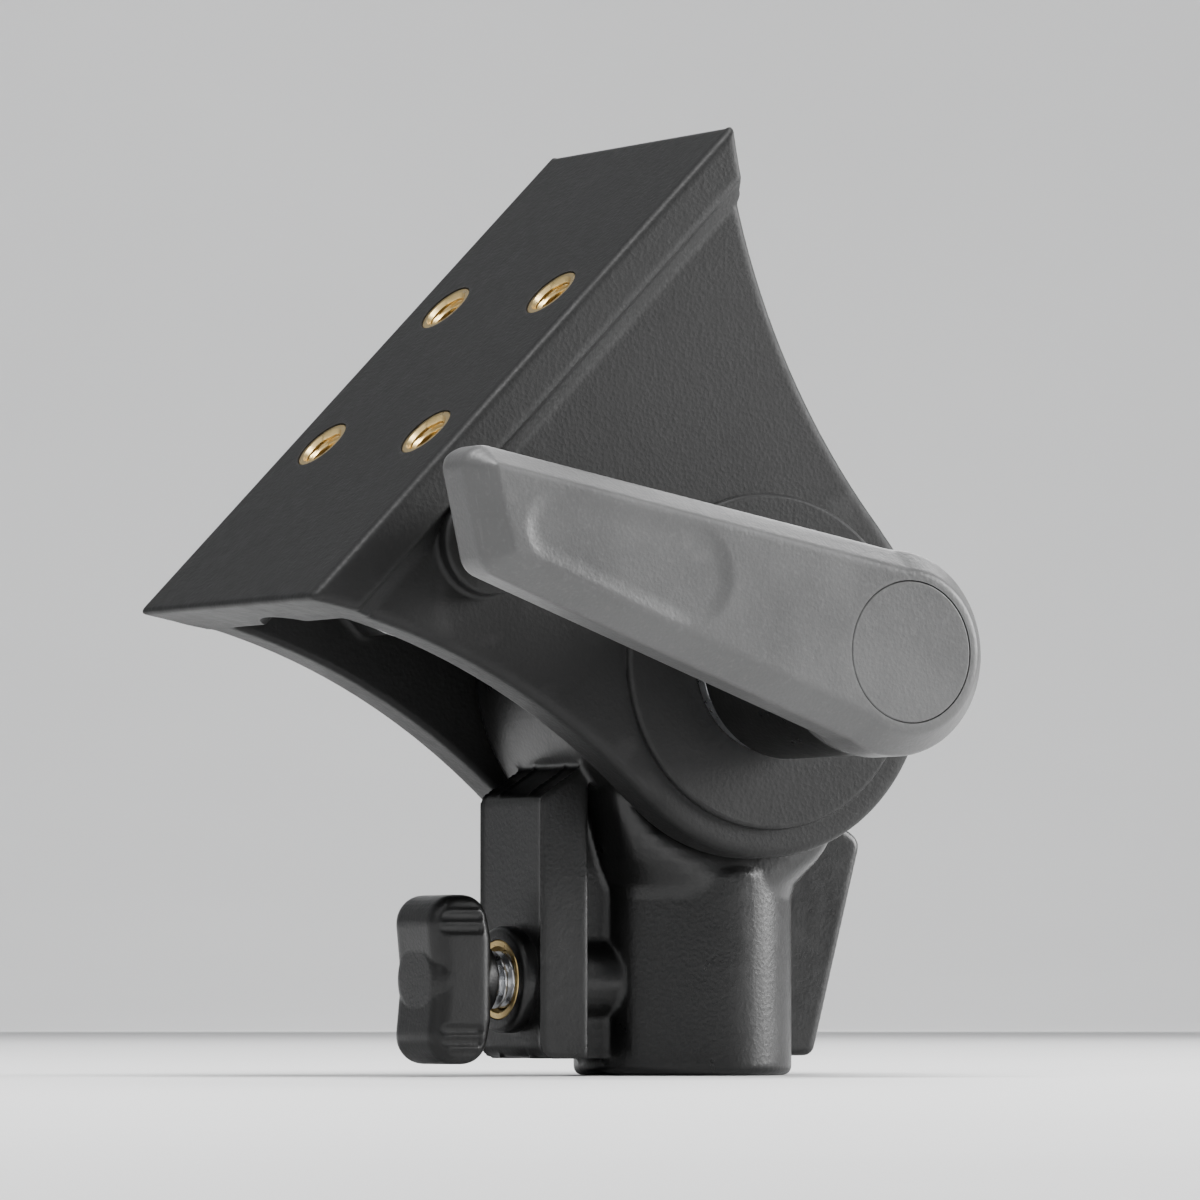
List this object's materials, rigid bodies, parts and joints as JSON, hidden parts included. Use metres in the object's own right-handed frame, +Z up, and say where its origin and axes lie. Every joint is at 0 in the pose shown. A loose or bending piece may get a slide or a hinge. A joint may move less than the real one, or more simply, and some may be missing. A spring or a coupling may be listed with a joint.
{
  "type": "umbrella swivel bracket",
  "caption": "Tilting bracket between a studio flash and a light stand, with a lever-locked fork, a stud socket with a wing knob, and an umbrella tunnel.",
  "frame": {"origin": "centre of the stand socket's mouth", "axes": "+Z up along the stand stud, +X the way the flash faces, Y along the tilt pivot with the lever on the -Y side"},
  "size_m": [0.0777, 0.0646, 0.0989],
  "materials": {
    "black_nylon": "glass-filled nylon with a fine moulded grain",
    "knob_plastic": "smooth black moulding",
    "grey_plastic": "mid-grey satin moulding",
    "zinc_steel": "bright zinc plating",
    "nickel": "nickel plated and knurled",
    "aluminium_tube": "turned",
    "brass": "turned",
    "acetal": "natural white",
    "friction_lining": "pressed fibre"
  },
  "bodies": {
    "socket": {"stand_socket": "black_nylon", "pivot_bush_near": "acetal", "pivot_bush_far": "acetal", "release_spring": "zinc_steel", "friction_disc_near": "friction_lining", "friction_disc_far": "friction_lining", "lock_insert": "brass"},
    "stand_shoe": {"lock_shoe": "acetal"},
    "stand_knob": {"lock_knob": "knob_plastic", "lock_screw": "zinc_steel"},
    "head": {"head_fork": "black_nylon", "pad_inserts": "brass", "umbrella_sleeve": "aluminium_tube", "umbrella_insert": "brass", "pivot_bolt": "zinc_steel", "bolt_cap": "knob_plastic", "lever_washer": "zinc_steel"},
    "umbrella_pad": {"umbrella_shoe": "acetal"},
    "umbrella_thumb": {"umbrella_screw": "nickel"},
    "lever_core": {"lever_hub": "zinc_steel", "lever_screw": "zinc_steel", "lever_spring": "zinc_steel"},
    "lever": {"tilt_lever": "grey_plastic", "lever_cap": "grey_plastic"}
  },
  "joints": [
    {"name": "tilt", "type": "hinge", "parent": "socket", "child": "head", "pos_m": [0, 0, 0.043], "axis": [0, -1, 0], "range_deg": [-135, 45]},
    {"name": "lever_turn", "type": "hinge", "parent": "head", "child": "lever_core", "pos_m": [0, 0, 0.043], "axis": [0, -1, 0], "range_deg": [0, 120]},
    {"name": "lever_lift", "type": "slide", "parent": "lever_core", "child": "lever", "axis": [0, -1, 0], "range_m": [0, 0.003], "stiffness_N_per_m": 1000, "springref_m": -0.002, "deforming": ["lever_spring"]},
    {"name": "stand_lock_slide", "type": "slide", "parent": "socket", "child": "stand_shoe", "axis": [1, 0, 0], "range_m": [-0.00305, 0.00185]},
    {"name": "stand_lock_spin", "type": "hinge", "parent": "stand_shoe", "child": "stand_knob", "pos_m": [-0.029, 0, 0.01], "axis": [1, 0, 0], "range_deg": [-1080, 648]},
    {"name": "umbrella_lock_slide", "type": "slide", "parent": "head", "child": "umbrella_pad", "axis": [0, 1, 0], "range_m": [-0.00245, 0.00165]},
    {"name": "umbrella_lock_spin", "type": "hinge", "parent": "umbrella_pad", "child": "umbrella_thumb", "pos_m": [-0.03465, -0.0235, 0.05431], "axis": [0, 1, 0], "range_deg": [-1080, 720]}
  ],
  "couplings": [
    {"joint": "stand_lock_slide", "follows": "stand_lock_spin", "m_per_rad": 0.00015915},
    {"joint": "umbrella_lock_slide", "follows": "umbrella_lock_spin", "m_per_rad": 0.00012732}
  ]
}
